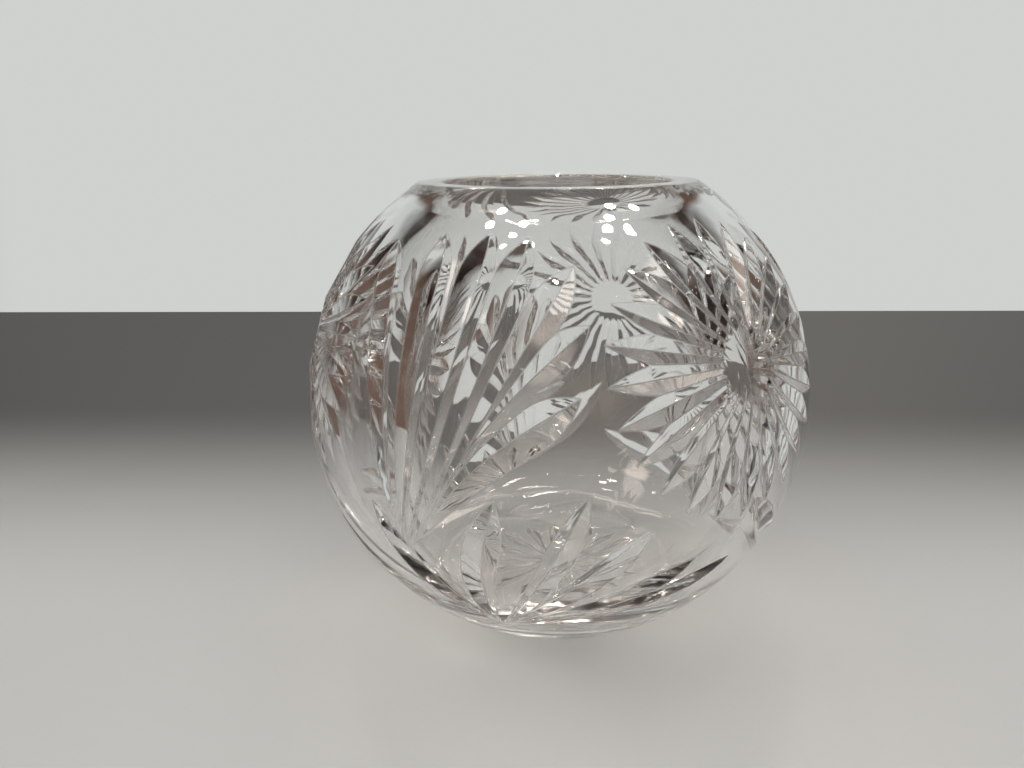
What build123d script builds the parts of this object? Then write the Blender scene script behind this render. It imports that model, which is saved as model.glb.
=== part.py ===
from build123d import *
import os
from math import asin, cos, degrees, radians, sin, sqrt, tan

# Rose bowl of clear cut crystal, one piece of glass.
# Lengths are in millimetres and angles in degrees.
# The origin is the middle of the base, +Z is up and -Y is the front.

# Globe: a sphere ground flat at the base and at the rim
GLOBE_DIAMETER = 150.0
BASE_DIAMETER = 74.8
RIM_DIAMETER = 81.4
RIM_WIDTH = 7.4
WALL = 9.0
HOLLOW_DROP = 2.5
FLOOR_THICKNESS = 13.0
FLOOR_BLEND = 26.0
MOUTH_BLEND = 13.5
RIM_ROUNDING = 0.8
BASE_CHAMFER = 0.8

# The cut pattern goes around the globe this many times.
# A place on the globe is an azimuth, from the front to the right, and an elevation above the globe's middle.
PATTERN_REPEATS = 3

# Flower: a dished disc with pointed petals around it
FLOWER_AZIMUTH = 41.5
FLOWER_ELEVATION = 16.5
DISC_DIAMETER = 20.0
DISC_HOLLOW = 0.5
PETAL_COUNT = 24
PETAL_TURN = 2.0
PETAL_START = 5.6
PETAL_END = 31.0
PETAL_GROOVE_ANGLE = 132.0

# Leaves: a short cut at the tip, as round as its grinding wheel, then a long tail that fades out at the root.
# A row holds the tip's azimuth, its elevation, how far the leaf bows to the left, and the length of the tip cut.
LEAF_GROOVE_ANGLE = 128.0
ROOT_STEP = 1.0
FAN_WHEEL_RADIUS = 60.0
FAN_ROOT = (-31.5, -20.0)
FAN_LEAVES = [
    (-47.0, 42.0, -3.0, 12.0),
    (-30.5, 44.5, -3.5, 12.5),
    (-17.5, 45.0, -4.0, 13.0),
    (-7.0, 44.0, -4.0, 13.0),
    (4.0, 38.0, -1.5, 13.0),
    (6.5, 26.5, 3.0, 13.0),
    (4.5, 13.5, 4.0, 14.0),
]
SPRAY_WHEEL_RADIUS = 200.0
SPRAY_ROOT = (-14.5, -43.0)
SPRAY_LEAVES = [
    (-76.0, -11.0, 3.0, 15.5),
    (-40.0, -11.0, 2.5, 14.5),
    (-11.5, -6.0, 5.5, 17.0),
    (6.0, -5.0, -0.5, 14.5),
    (18.5, -13.0, 1.0, 14.5),
    (30.5, -22.0, 1.0, 14.5),
    (42.0, -25.0, 1.5, 13.5),
]
SIDE_LEAF_ROOT = (-14.0, 8.5)
SIDE_LEAF = (1.5, 16.5, 1.0, 8.5)
STEM_BOW = 1.0
STEM_TIP_LENGTH = 9.5

# Star under the base, inside a plain ring that the bowl stands on
STAR_RAYS = 16
STAR_MARGIN = 8.5
STAR_CENTRE_DIAMETER = 3.0
STAR_OUTER_RUN = 6.0
STAR_DEPTH = 1.3
STAR_GROOVE_ANGLE = 120.0

# Height of a groove cutter above the bottom of its groove
CUTTER_HEIGHT = 6.0
# Share by which straight and curved cutters run on past the surface of the glass
RUN_ON = 1.15
# Petals this many places apart do not touch each other
PETALS_APART = 3

globe_radius = GLOBE_DIAMETER / 2
globe_rise = sqrt(globe_radius**2 - (BASE_DIAMETER / 2) ** 2)
rim_above_middle = sqrt(globe_radius**2 - (RIM_DIAMETER / 2) ** 2)
height = globe_rise + rim_above_middle
globe_middle = Vector(0, 0, globe_rise)


def direction(azimuth, elevation):
    """Unit vector from the globe's middle to a place on the globe."""
    turned = radians(azimuth)
    raised = radians(elevation)
    return Vector(sin(turned) * cos(raised), -cos(turned) * cos(raised), sin(raised))


def hollow():
    """Inside of the bowl: a smaller, slightly lower globe with a flat floor and an upright mouth."""
    inner_globe = Pos(0, 0, globe_rise - HOLLOW_DROP) * Sphere(globe_radius - WALL)
    above_floor = Pos(0, 0, FLOOR_THICKNESS + height / 2) * Cylinder(globe_radius, height)
    mouth = Pos(0, 0, height) * Cylinder(RIM_DIAMETER / 2 - RIM_WIDTH, height)
    inside = (inner_globe & above_floor) + mouth
    mouth_edge = inside.edges().filter_by(GeomType.CIRCLE).sort_by(Axis.Z)[-2]
    inside = fillet(mouth_edge, MOUTH_BLEND)
    floor_edge = inside.edges().filter_by(GeomType.CIRCLE).sort_by(Axis.Z)[0]
    return fillet(floor_edge, FLOOR_BLEND)


def plain_bowl():
    """The bowl before it is cut."""
    globe = Pos(0, 0, globe_rise) * Sphere(globe_radius)
    between_base_and_rim = Pos(0, 0, height / 2) * Cylinder(globe_radius + WALL, height)
    bowl = (globe & between_base_and_rim) - hollow()
    circles = bowl.edges().filter_by(GeomType.CIRCLE).sort_by(Axis.Z)
    bowl = fillet(circles[-2:], RIM_ROUNDING)
    base_edge = bowl.edges().filter_by(GeomType.CIRCLE).sort_by(Axis.Z)[0]
    return chamfer(base_edge, BASE_CHAMFER)


def groove_profile(bottom, outward, along, groove_angle):
    """V that stands across a groove, with its point on the groove's bottom line."""
    across = outward.cross(along)
    half_width = CUTTER_HEIGHT * tan(radians(groove_angle / 2))
    section = Plane(origin=bottom, x_dir=across, z_dir=along)
    corners = [(0, 0), (half_width, CUTTER_HEIGHT), (-half_width, CUTTER_HEIGHT)]
    return section * make_face(Polyline(*corners, close=True))


def petal(centre, bearing):
    """Straight V cut that runs away from the flower's centre."""
    right = Vector(0, 0, 1).cross(centre).normalized()
    up = centre.cross(right)
    heading = up * cos(radians(bearing)) + right * sin(radians(bearing))
    middle = radians((PETAL_START + PETAL_END) / 2)
    half_span = radians((PETAL_END - PETAL_START) / 2)
    outward = centre * cos(middle) + heading * sin(middle)
    along = heading * cos(middle) - centre * sin(middle)
    bottom = globe_middle + outward * (globe_radius * cos(half_span))
    profile = groove_profile(bottom, outward, along, PETAL_GROOVE_ANGLE)
    return extrude(profile, RUN_ON * globe_radius * sin(half_span), both=True)


def disc(centre):
    """Ball that grinds the hollow in the middle of the flower."""
    disc_radius = DISC_DIAMETER / 2
    edge_drop = globe_radius - sqrt(globe_radius**2 - disc_radius**2)
    ball_radius = (disc_radius**2 + DISC_HOLLOW**2) / (2 * DISC_HOLLOW)
    ball_middle = globe_middle + centre * (globe_radius - edge_drop - DISC_HOLLOW + ball_radius)
    return Pos(ball_middle) * Sphere(ball_radius)


def leaf(wheel_radius, root, azimuth, elevation, bow, tip_length):
    """Curved V cut from a root to a tip, deepest and widest where its tip cut begins."""
    start = direction(*root)
    end = direction(azimuth, elevation)
    left = start.cross(end).normalized()
    middle = (start + end).normalized() * cos(radians(bow)) + left * sin(radians(bow))

    # The leaf follows a ring on the globe through its root, its middle and its tip.
    axis = (middle - start).cross(end - start).normalized()
    lift = axis.dot(start)
    ring_radius = globe_radius * sqrt(1 - lift**2)
    ring_middle = globe_middle + axis * (globe_radius * lift)

    # The tip cut runs straight to the tip, seen from outside, from a place just inside the ring.
    tip_turn = tip_length / ring_radius
    tip_run = ring_radius * sin(tip_turn)
    end_spoke = (end - axis * lift).normalized()
    spoke = end_spoke * cos(tip_turn) + end_spoke.cross(axis) * sin(tip_turn)
    along = axis.cross(spoke)
    inside_ring = ring_middle + spoke * (ring_radius * cos(tip_turn))
    outward = (inside_ring - globe_middle).normalized()

    # The wheel that grinds the tip cut stands on the deepest place of the groove.
    wheel_dip = wheel_radius - sqrt(wheel_radius**2 - tip_run**2)
    bottom = inside_ring - outward * wheel_dip
    profile = groove_profile(bottom, outward, along, LEAF_GROOVE_ANGLE)
    wheel_middle = bottom + outward * wheel_radius
    tip_sweep = degrees(asin(tip_run / wheel_radius))
    tip = revolve(profile, Axis(wheel_middle, along.cross(outward)), RUN_ON * tip_sweep)

    # The tail is an arc that goes on from the deepest place and comes up at the root.
    to_root = globe_middle + start * globe_radius - bottom
    back = -to_root.dot(along)
    aside = to_root + along * back
    tail_radius = to_root.length**2 / (2 * aside.length)
    tail_middle = bottom + aside.normalized() * tail_radius
    tail_sweep = degrees(asin(back / tail_radius))
    tail = revolve(profile, Axis(tail_middle, aside.cross(along)), RUN_ON * tail_sweep)
    return [tail, tip]


def bundle(wheel_radius, root, leaves):
    """Leaves that start side by side at one root, the outer ones a little higher."""
    cuts = []
    for number, row in enumerate(leaves):
        step = ROOT_STEP * (number - (len(leaves) - 1) / 2)
        start = (root[0] + step, root[1] + abs(step))
        cuts.append(leaf(wheel_radius, start, *row))
    return cuts


def star_ray(bearing):
    """V cut in the base that deepens outwards and runs out before the plain ring."""
    heading = Vector(cos(radians(bearing)), sin(radians(bearing)), 0)
    down = Vector(0, 0, -1)
    deep_radius = BASE_DIAMETER / 2 - STAR_MARGIN - STAR_OUTER_RUN
    bottom = heading * deep_radius - down * STAR_DEPTH
    profile = groove_profile(bottom, down, heading, STAR_GROOVE_ANGLE)
    inner_run = deep_radius - STAR_CENTRE_DIAMETER / 2
    inward = down * STAR_DEPTH - heading * inner_run
    outward = down * STAR_DEPTH + heading * STAR_OUTER_RUN
    inner = extrude(profile, RUN_ON * inward.length, dir=inward.normalized())
    outer = extrude(profile, RUN_ON * outward.length, dir=outward.normalized())
    return [inner, outer]


def around(cutters):
    """The same cutters at every repeat of the pattern."""
    turned = []
    for repeat in range(PATTERN_REPEATS):
        turned += [Rot(0, 0, 360 * repeat / PATTERN_REPEATS) * cutter for cutter in cutters]
    return turned


def cut_flowers(bowl):
    """Petals some places apart are cut in one go, because their cutters do not touch."""
    centre = direction(FLOWER_AZIMUTH, FLOWER_ELEVATION)
    petals = [petal(centre, PETAL_TURN + 360 * number / PETAL_COUNT) for number in range(PETAL_COUNT)]
    for first in range(PETALS_APART):
        bowl = bowl - around(petals[first::PETALS_APART])
    return bowl - around([disc(centre)])


def cut_leaves(bowl):
    fan = bundle(FAN_WHEEL_RADIUS, FAN_ROOT, FAN_LEAVES)
    spray = bundle(SPRAY_WHEEL_RADIUS, SPRAY_ROOT, SPRAY_LEAVES)
    side_leaf = leaf(FAN_WHEEL_RADIUS, SIDE_LEAF_ROOT, *SIDE_LEAF)
    stem = leaf(SPRAY_WHEEL_RADIUS, SPRAY_ROOT, *FAN_ROOT, STEM_BOW, STEM_TIP_LENGTH)
    leaves = [*fan, *spray, side_leaf, stem]
    for cutters in leaves:
        bowl = bowl - around(cutters)
    return bowl


def cut_star(bowl):
    rays = []
    for number in range(STAR_RAYS):
        rays += star_ray(360 * number / STAR_RAYS)
    return bowl - rays


os.makedirs("parts", exist_ok=True)
bowl = cut_star(cut_leaves(cut_flowers(plain_bowl())))
export_step(bowl, "parts/bowl.step")
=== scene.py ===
from math import cos, radians, sin, sqrt

import bpy
from mathutils import Euler, Matrix, Vector


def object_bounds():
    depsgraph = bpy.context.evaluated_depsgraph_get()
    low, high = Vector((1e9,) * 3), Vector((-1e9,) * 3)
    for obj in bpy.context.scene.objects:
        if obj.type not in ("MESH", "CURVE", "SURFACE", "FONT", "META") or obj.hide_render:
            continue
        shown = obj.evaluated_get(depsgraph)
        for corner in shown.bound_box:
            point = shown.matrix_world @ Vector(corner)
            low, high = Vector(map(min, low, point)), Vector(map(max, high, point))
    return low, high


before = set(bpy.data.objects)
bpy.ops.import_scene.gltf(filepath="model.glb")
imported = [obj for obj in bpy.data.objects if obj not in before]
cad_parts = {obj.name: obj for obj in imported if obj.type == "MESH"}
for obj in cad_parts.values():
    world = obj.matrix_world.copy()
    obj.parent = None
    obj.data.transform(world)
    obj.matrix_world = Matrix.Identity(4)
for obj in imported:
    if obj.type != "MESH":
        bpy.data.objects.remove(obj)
cad_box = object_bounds()
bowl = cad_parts["bowl"]

# The camera of the photograph, in metres, degrees and pixels of a 1024 x 768 picture
CAMERA_PLACE = Vector((0, -0.27957, 0.14223))
CAMERA_DOWN = 15.18
CAMERA_LEFT = 2.81
CAMERA_ROLL = -0.61
CAMERA_NEAR_LIMIT = 0.01
SENSOR_WIDTH = 36.0
FOCAL_PIXELS = 936.1
PICTURE_WIDTH = 1024

# The floor is pale and gets darker behind the bowl: painted shade, as if its light fell off towards the
# back. A film of air parts it from the ground base.
FLOOR_SIZE = 0.94
FLOOR_GAP = 0.0002
FLOOR_NEAR_COLOUR = (0.50, 0.50, 0.49, 1)
FLOOR_PAINTED_SHADE_COLOUR = (0.05, 0.05, 0.05, 1)
FLOOR_PAINTED_SHADE_START = -0.03
FLOOR_PAINTED_SHADE_END = 0.20
FLOOR_ROUGHNESS = 0.5

# The soft light on the floor
DOME_COLOUR = (1.0, 0.99, 0.97, 1)
DOME_STRENGTH = 1.0

# The room that the glass shows, by the height of a direction above the horizon (its sine)
PALE_WALL = (0.62, 0.64, 0.62, 1)
DARK_CEILING = (0.035, 0.026, 0.022, 1)
DIM_CEILING = (0.10, 0.08, 0.07, 1)
HIGH_CEILING = (0.03, 0.024, 0.020, 1)
ROOM_HEIGHTS = [
    (0.35, PALE_WALL),
    (0.50, DARK_CEILING),
    (0.62, DARK_CEILING),
    (0.72, DIM_CEILING),
    (0.82, DIM_CEILING),
    (0.90, HIGH_CEILING),
]

# The room is warmer towards the front, by the depth of a direction, and dark at both sides, by its width.
FRONT_TINT = (0.90, 0.71, 0.62, 1)
FRONT_FADE_START = 0.6
FRONT_FADE_END = -0.6
SIDE_TINT = (0.20, 0.125, 0.10, 1)
SIDE_FADE_START = 0.50
SIDE_FADE_END = 0.70
NO_TINT = (1, 1, 1, 1)

# Round light panels in the room, by azimuth and elevation in degrees as seen from the bowl
PANELS = [(75, 48), (-75, 48), (165, 40)]
PANEL_COLOUR = (5.0, 4.4, 3.9, 1)
PANEL_INNER_ANGLE = 5
PANEL_OUTER_ANGLE = 9

# Small lamps, placed in the same way: three to the left, three to the right and three behind
LAMPS = [
    (-115, 71), (-97, 68), (-80, 79),
    (122, 71), (121, 63), (101, 73),
    (178, 52), (160, 58), (-150, 50),
]
LAMP_DISTANCE = 1.0
LAMP_SIZE = 0.055
LAMP_POWER = 1.8
LAMP_COLOUR = (1.0, 0.93, 0.85)

# The globe, from the bowl's own box and the radius of its base
BOWL_MIDDLE = (Vector(cad_box[0]) + Vector(cad_box[1])) / 2
GLOBE_RADIUS = (cad_box[1][1] - cad_box[0][1]) / 2
BASE_RADIUS = 0.0374
GLOBE_RISE = sqrt(GLOBE_RADIUS**2 - BASE_RADIUS**2)
GLOBE_MIDDLE = Vector((BOWL_MIDDLE.x, BOWL_MIDDLE.y, cad_box[0][2] + GLOBE_RISE))

# Clear crystal
CRYSTAL_COLOUR = (0.985, 0.98, 0.975, 1)
CRYSTAL_IOR = 1.545

# Polishing rounds the cut edges and leaves them a little satin. Likeness is the cosine of the angle
# between the facet and its rounded edge.
EDGE_ROUNDING = 0.0006
EDGE_SAMPLES = 6
EDGE_ROUGHNESS = 0.4
EDGE_START_LIKENESS = 0.9992
EDGE_FULL_LIKENESS = 0.985

# The cut facets are a little wavy, and the whole wall swells gently.
CUT_DEPTH_START = 0.0001
CUT_DEPTH_FULL = 0.0006
WAVE_SCALE = 150
WAVE_DETAIL = 1
WAVE_HEIGHT = 0.00005
SWELL_SCALE = 32
SWELL_HEIGHT = 0.00012

# The inside is left as it was blown, less even than the outside. It lies deeper than the cuts
# and above the base.
INSIDE_DEPTH_START = 0.005
INSIDE_DEPTH_FULL = 0.007
INSIDE_LOW_START = 0.006
INSIDE_LOW_FULL = 0.012
INSIDE_SCALE = 40
INSIDE_HEIGHT = 0.0006

# The ring that the bowl stands on is worn.
WORN_HEIGHT = 0.0004
WORN_FULL_HEIGHT = 0.0001
WORN_ROUGHNESS = 0.12

# How often light may pass on through the glass, and the brightest that one path may be
GLASS_BOUNCES = 24
MIRROR_BOUNCES = 12
BRIGHTEST_PATH = 40


def new_material(name):
    """A material with nodes, its tree and its Principled shader."""
    material = bpy.data.materials.new(name)
    material.use_nodes = True
    tree = material.node_tree
    return material, tree, tree.nodes["Principled BSDF"]


def put(tree, value, socket):
    """Link the value if it is another node's output, otherwise set it."""
    if isinstance(value, bpy.types.NodeSocket):
        tree.links.new(value, socket)
    else:
        socket.default_value = value


def fade(tree, value, start, end, full=1, smooth=True):
    """0 up to the start, full from the end on."""
    step = tree.nodes.new("ShaderNodeMapRange")
    step.interpolation_type = "SMOOTHSTEP" if smooth else "LINEAR"
    step.inputs["From Min"].default_value = start
    step.inputs["From Max"].default_value = end
    step.inputs["To Max"].default_value = full
    put(tree, value, step.inputs["Value"])
    return step.outputs["Result"]


def mix(tree, share, first, second, way="MIX"):
    """Two colours mixed or multiplied."""
    node = tree.nodes.new("ShaderNodeMix")
    node.data_type = "RGBA"
    node.blend_type = way
    put(tree, share, node.inputs["Factor"])
    put(tree, first, node.inputs["A"])
    put(tree, second, node.inputs["B"])
    return node.outputs["Result"]


def calculate(tree, operation, first, second=0):
    """A number from one or two numbers."""
    node = tree.nodes.new("ShaderNodeMath")
    node.operation = operation
    put(tree, first, node.inputs[0])
    put(tree, second, node.inputs[1])
    return node.outputs["Value"]


def compare(tree, operation, first, second):
    """A number from two vectors."""
    node = tree.nodes.new("ShaderNodeVectorMath")
    node.operation = operation
    put(tree, first, node.inputs[0])
    put(tree, second, node.inputs[1])
    return node.outputs["Value"]


def noise(tree, place, scale, detail=0):
    """A smooth random number at each place."""
    node = tree.nodes.new("ShaderNodeTexNoise")
    node.inputs["Scale"].default_value = scale
    node.inputs["Detail"].default_value = detail
    put(tree, place, node.inputs["Vector"])
    return node.outputs["Fac"]


def bump(tree, height, distance, normal):
    """The normal, tilted as if the surface rose by height times distance."""
    node = tree.nodes.new("ShaderNodeBump")
    node.inputs["Distance"].default_value = distance
    put(tree, height, node.inputs["Height"])
    put(tree, normal, node.inputs["Normal"])
    return node.outputs["Normal"]


def split(tree, vector):
    """The X, Y and Z of a vector."""
    node = tree.nodes.new("ShaderNodeSeparateXYZ")
    put(tree, vector, node.inputs[0])
    return node.outputs


def crystal():
    """Clear polished glass: rounded cut edges, wavy facets, a gently uneven wall and a worn base."""
    material, tree, shader = new_material("cut_crystal")
    shader.inputs["Base Color"].default_value = CRYSTAL_COLOUR
    shader.inputs["Transmission Weight"].default_value = 1
    shader.inputs["IOR"].default_value = CRYSTAL_IOR
    place = tree.nodes.new("ShaderNodeTexCoord").outputs["Object"]
    height = split(tree, place)["Z"]

    # Cut facets lie below the outside of the globe, and the inside lies deeper still.
    reach = compare(tree, "DISTANCE", place, GLOBE_MIDDLE)
    cut = fade(tree, reach, GLOBE_RADIUS - CUT_DEPTH_START, GLOBE_RADIUS - CUT_DEPTH_FULL, smooth=False)
    deep = fade(tree, reach, GLOBE_RADIUS - INSIDE_DEPTH_START, GLOBE_RADIUS - INSIDE_DEPTH_FULL)
    above_base = fade(tree, height, INSIDE_LOW_START, INSIDE_LOW_FULL)
    inside = calculate(tree, "MULTIPLY", deep, above_base)

    # Rounded edges, then the waves of the facets, the swell of the whole wall and the blown inside
    wave = calculate(tree, "MULTIPLY", noise(tree, place, WAVE_SCALE, WAVE_DETAIL), cut)
    swell = noise(tree, place, SWELL_SCALE)
    blown = calculate(tree, "MULTIPLY", noise(tree, place, INSIDE_SCALE), inside)
    edges = tree.nodes.new("ShaderNodeBevel")
    edges.samples = EDGE_SAMPLES
    edges.inputs["Radius"].default_value = EDGE_ROUNDING
    rounded = edges.outputs["Normal"]
    wavy = bump(tree, wave, WAVE_HEIGHT, rounded)
    uneven = bump(tree, swell, SWELL_HEIGHT, wavy)
    put(tree, bump(tree, blown, INSIDE_HEIGHT, uneven), shader.inputs["Normal"])

    # Satin edges, where the rounded surface turns away from the facet, and the ring that the bowl stands on
    facet = tree.nodes.new("ShaderNodeNewGeometry").outputs["Normal"]
    likeness = calculate(tree, "ABSOLUTE", compare(tree, "DOT_PRODUCT", facet, rounded))
    satin = fade(tree, likeness, EDGE_START_LIKENESS, EDGE_FULL_LIKENESS, EDGE_ROUGHNESS, smooth=False)
    worn = fade(tree, height, WORN_HEIGHT, WORN_FULL_HEIGHT, WORN_ROUGHNESS, smooth=False)
    put(tree, calculate(tree, "MAXIMUM", satin, worn), shader.inputs["Roughness"])
    return material


def dress_bowl():
    """The bowl keeps its shape and gets its crystal."""
    bowl.data.materials.clear()
    bowl.data.materials.append(crystal())


def floor_material():
    """Plain and matt, pale in front and darker behind, where painted shade darkens its colour."""
    material, tree, shader = new_material("pale_floor")
    place = tree.nodes.new("ShaderNodeTexCoord").outputs["Object"]
    depth = split(tree, place)["Y"]
    # Painted shade: the floor's colour darkens from front to back, standing in for light that falls off
    # behind the bowl.
    painted_shade = fade(tree, depth, FLOOR_PAINTED_SHADE_START, FLOOR_PAINTED_SHADE_END)
    put(tree, mix(tree, painted_shade, FLOOR_NEAR_COLOUR, FLOOR_PAINTED_SHADE_COLOUR), shader.inputs["Base Color"])
    shader.inputs["Roughness"].default_value = FLOOR_ROUGHNESS
    return material


def add_floor():
    """A square of floor around the bowl."""
    bpy.ops.mesh.primitive_plane_add(size=FLOOR_SIZE, location=(0, 0, -FLOOR_GAP))
    floor = bpy.context.object
    floor.name = "floor"
    floor.data.materials.append(floor_material())


def direction(azimuth, elevation):
    """A unit vector: azimuth 0 is towards the camera's side, 90 to the right."""
    turned = radians(azimuth)
    raised = radians(elevation)
    return Vector((sin(turned) * cos(raised), -cos(turned) * cos(raised), sin(raised)))


def add_lamp(name, place, aim):
    """A small round lamp that only the glass shows."""
    light = bpy.data.lights.new(name, "AREA")
    light.shape = "DISK"
    light.size = LAMP_SIZE
    light.energy = LAMP_POWER
    light.color = LAMP_COLOUR
    lamp = bpy.data.objects.new(name, light)
    bpy.context.scene.collection.objects.link(lamp)
    lamp.location = place
    lamp.rotation_euler = (aim - place).to_track_quat("-Z", "Y").to_euler()
    lamp.visible_camera = False
    lamp.visible_diffuse = False


def add_lamps():
    """All lamps, each aimed at the middle of the bowl."""
    for number, (azimuth, elevation) in enumerate(LAMPS, 1):
        place = BOWL_MIDDLE + direction(azimuth, elevation) * LAMP_DISTANCE
        add_lamp(f"lamp_{number}", place, BOWL_MIDDLE)


def room_colour(tree):
    """The plain room by direction: pale wall, darker ceiling and sides, light panels."""
    looking = tree.nodes.new("ShaderNodeTexCoord").outputs["Generated"]
    axes = split(tree, looking)
    rise = tree.nodes.new("ShaderNodeValToRGB")
    put(tree, axes["Z"], rise.inputs["Fac"])

    # A new ramp has two stops, so only the others are added.
    stops = rise.color_ramp.elements
    for height, colour in ROOM_HEIGHTS[2:]:
        stops.new(height)
    for stop, (height, colour) in zip(stops, ROOM_HEIGHTS):
        stop.position = height
        stop.color = colour
    shown = rise.outputs["Color"]

    front = fade(tree, axes["Y"], FRONT_FADE_START, FRONT_FADE_END)
    side = fade(tree, calculate(tree, "ABSOLUTE", axes["X"]), SIDE_FADE_START, SIDE_FADE_END)
    shown = mix(tree, 1, shown, mix(tree, front, NO_TINT, FRONT_TINT), "MULTIPLY")
    shown = mix(tree, 1, shown, mix(tree, side, NO_TINT, SIDE_TINT), "MULTIPLY")
    for azimuth, elevation in PANELS:
        nearness = compare(tree, "DOT_PRODUCT", looking, direction(azimuth, elevation))
        lit = fade(tree, nearness, cos(radians(PANEL_OUTER_ANGLE)), cos(radians(PANEL_INNER_ANGLE)))
        shown = mix(tree, lit, shown, PANEL_COLOUR)
    return shown


def add_world():
    """The room that the glass mirrors and bends, and a soft dome that lights the floor."""
    world = bpy.data.worlds.new("studio")
    world.use_nodes = True
    bpy.context.scene.world = world
    tree = world.node_tree
    dome = tree.nodes["Background"]
    dome.inputs["Color"].default_value = DOME_COLOUR
    dome.inputs["Strength"].default_value = DOME_STRENGTH
    room = tree.nodes.new("ShaderNodeBackground")
    put(tree, room_colour(tree), room.inputs["Color"])

    # A path that has met the floor ends in the dome, and any other path ends in the room.
    both = tree.nodes.new("ShaderNodeMixShader")
    path = tree.nodes.new("ShaderNodeLightPath")
    put(tree, path.outputs["Diffuse Depth"], both.inputs["Fac"])
    put(tree, room.outputs["Background"], both.inputs[1])
    put(tree, dome.outputs["Background"], both.inputs[2])
    put(tree, both.outputs["Shader"], tree.nodes["World Output"].inputs["Surface"])


def add_camera():
    """The camera of the photograph."""
    lens = bpy.data.cameras.new("camera")
    lens.sensor_width = SENSOR_WIDTH
    lens.lens = SENSOR_WIDTH * FOCAL_PIXELS / PICTURE_WIDTH
    lens.clip_start = CAMERA_NEAR_LIMIT
    camera = bpy.data.objects.new("camera", lens)
    bpy.context.scene.collection.objects.link(camera)
    turn = Euler((radians(90 - CAMERA_DOWN), 0, radians(CAMERA_LEFT))).to_matrix()
    turn = turn @ Matrix.Rotation(radians(CAMERA_ROLL), 3, "Z")
    camera.matrix_world = Matrix.Translation(CAMERA_PLACE) @ turn.to_4x4()
    bpy.context.scene.camera = camera


def set_light_paths():
    """Enough bounces for thick glass with many facets, and plain colours."""
    settings = bpy.context.scene.cycles
    settings.max_bounces = GLASS_BOUNCES
    settings.transmission_bounces = GLASS_BOUNCES
    settings.glossy_bounces = MIRROR_BOUNCES
    settings.sample_clamp_indirect = BRIGHTEST_PATH
    bpy.context.scene.view_settings.view_transform = "Standard"


dress_bowl()
add_floor()
add_lamps()
add_world()
add_camera()
set_light_paths()
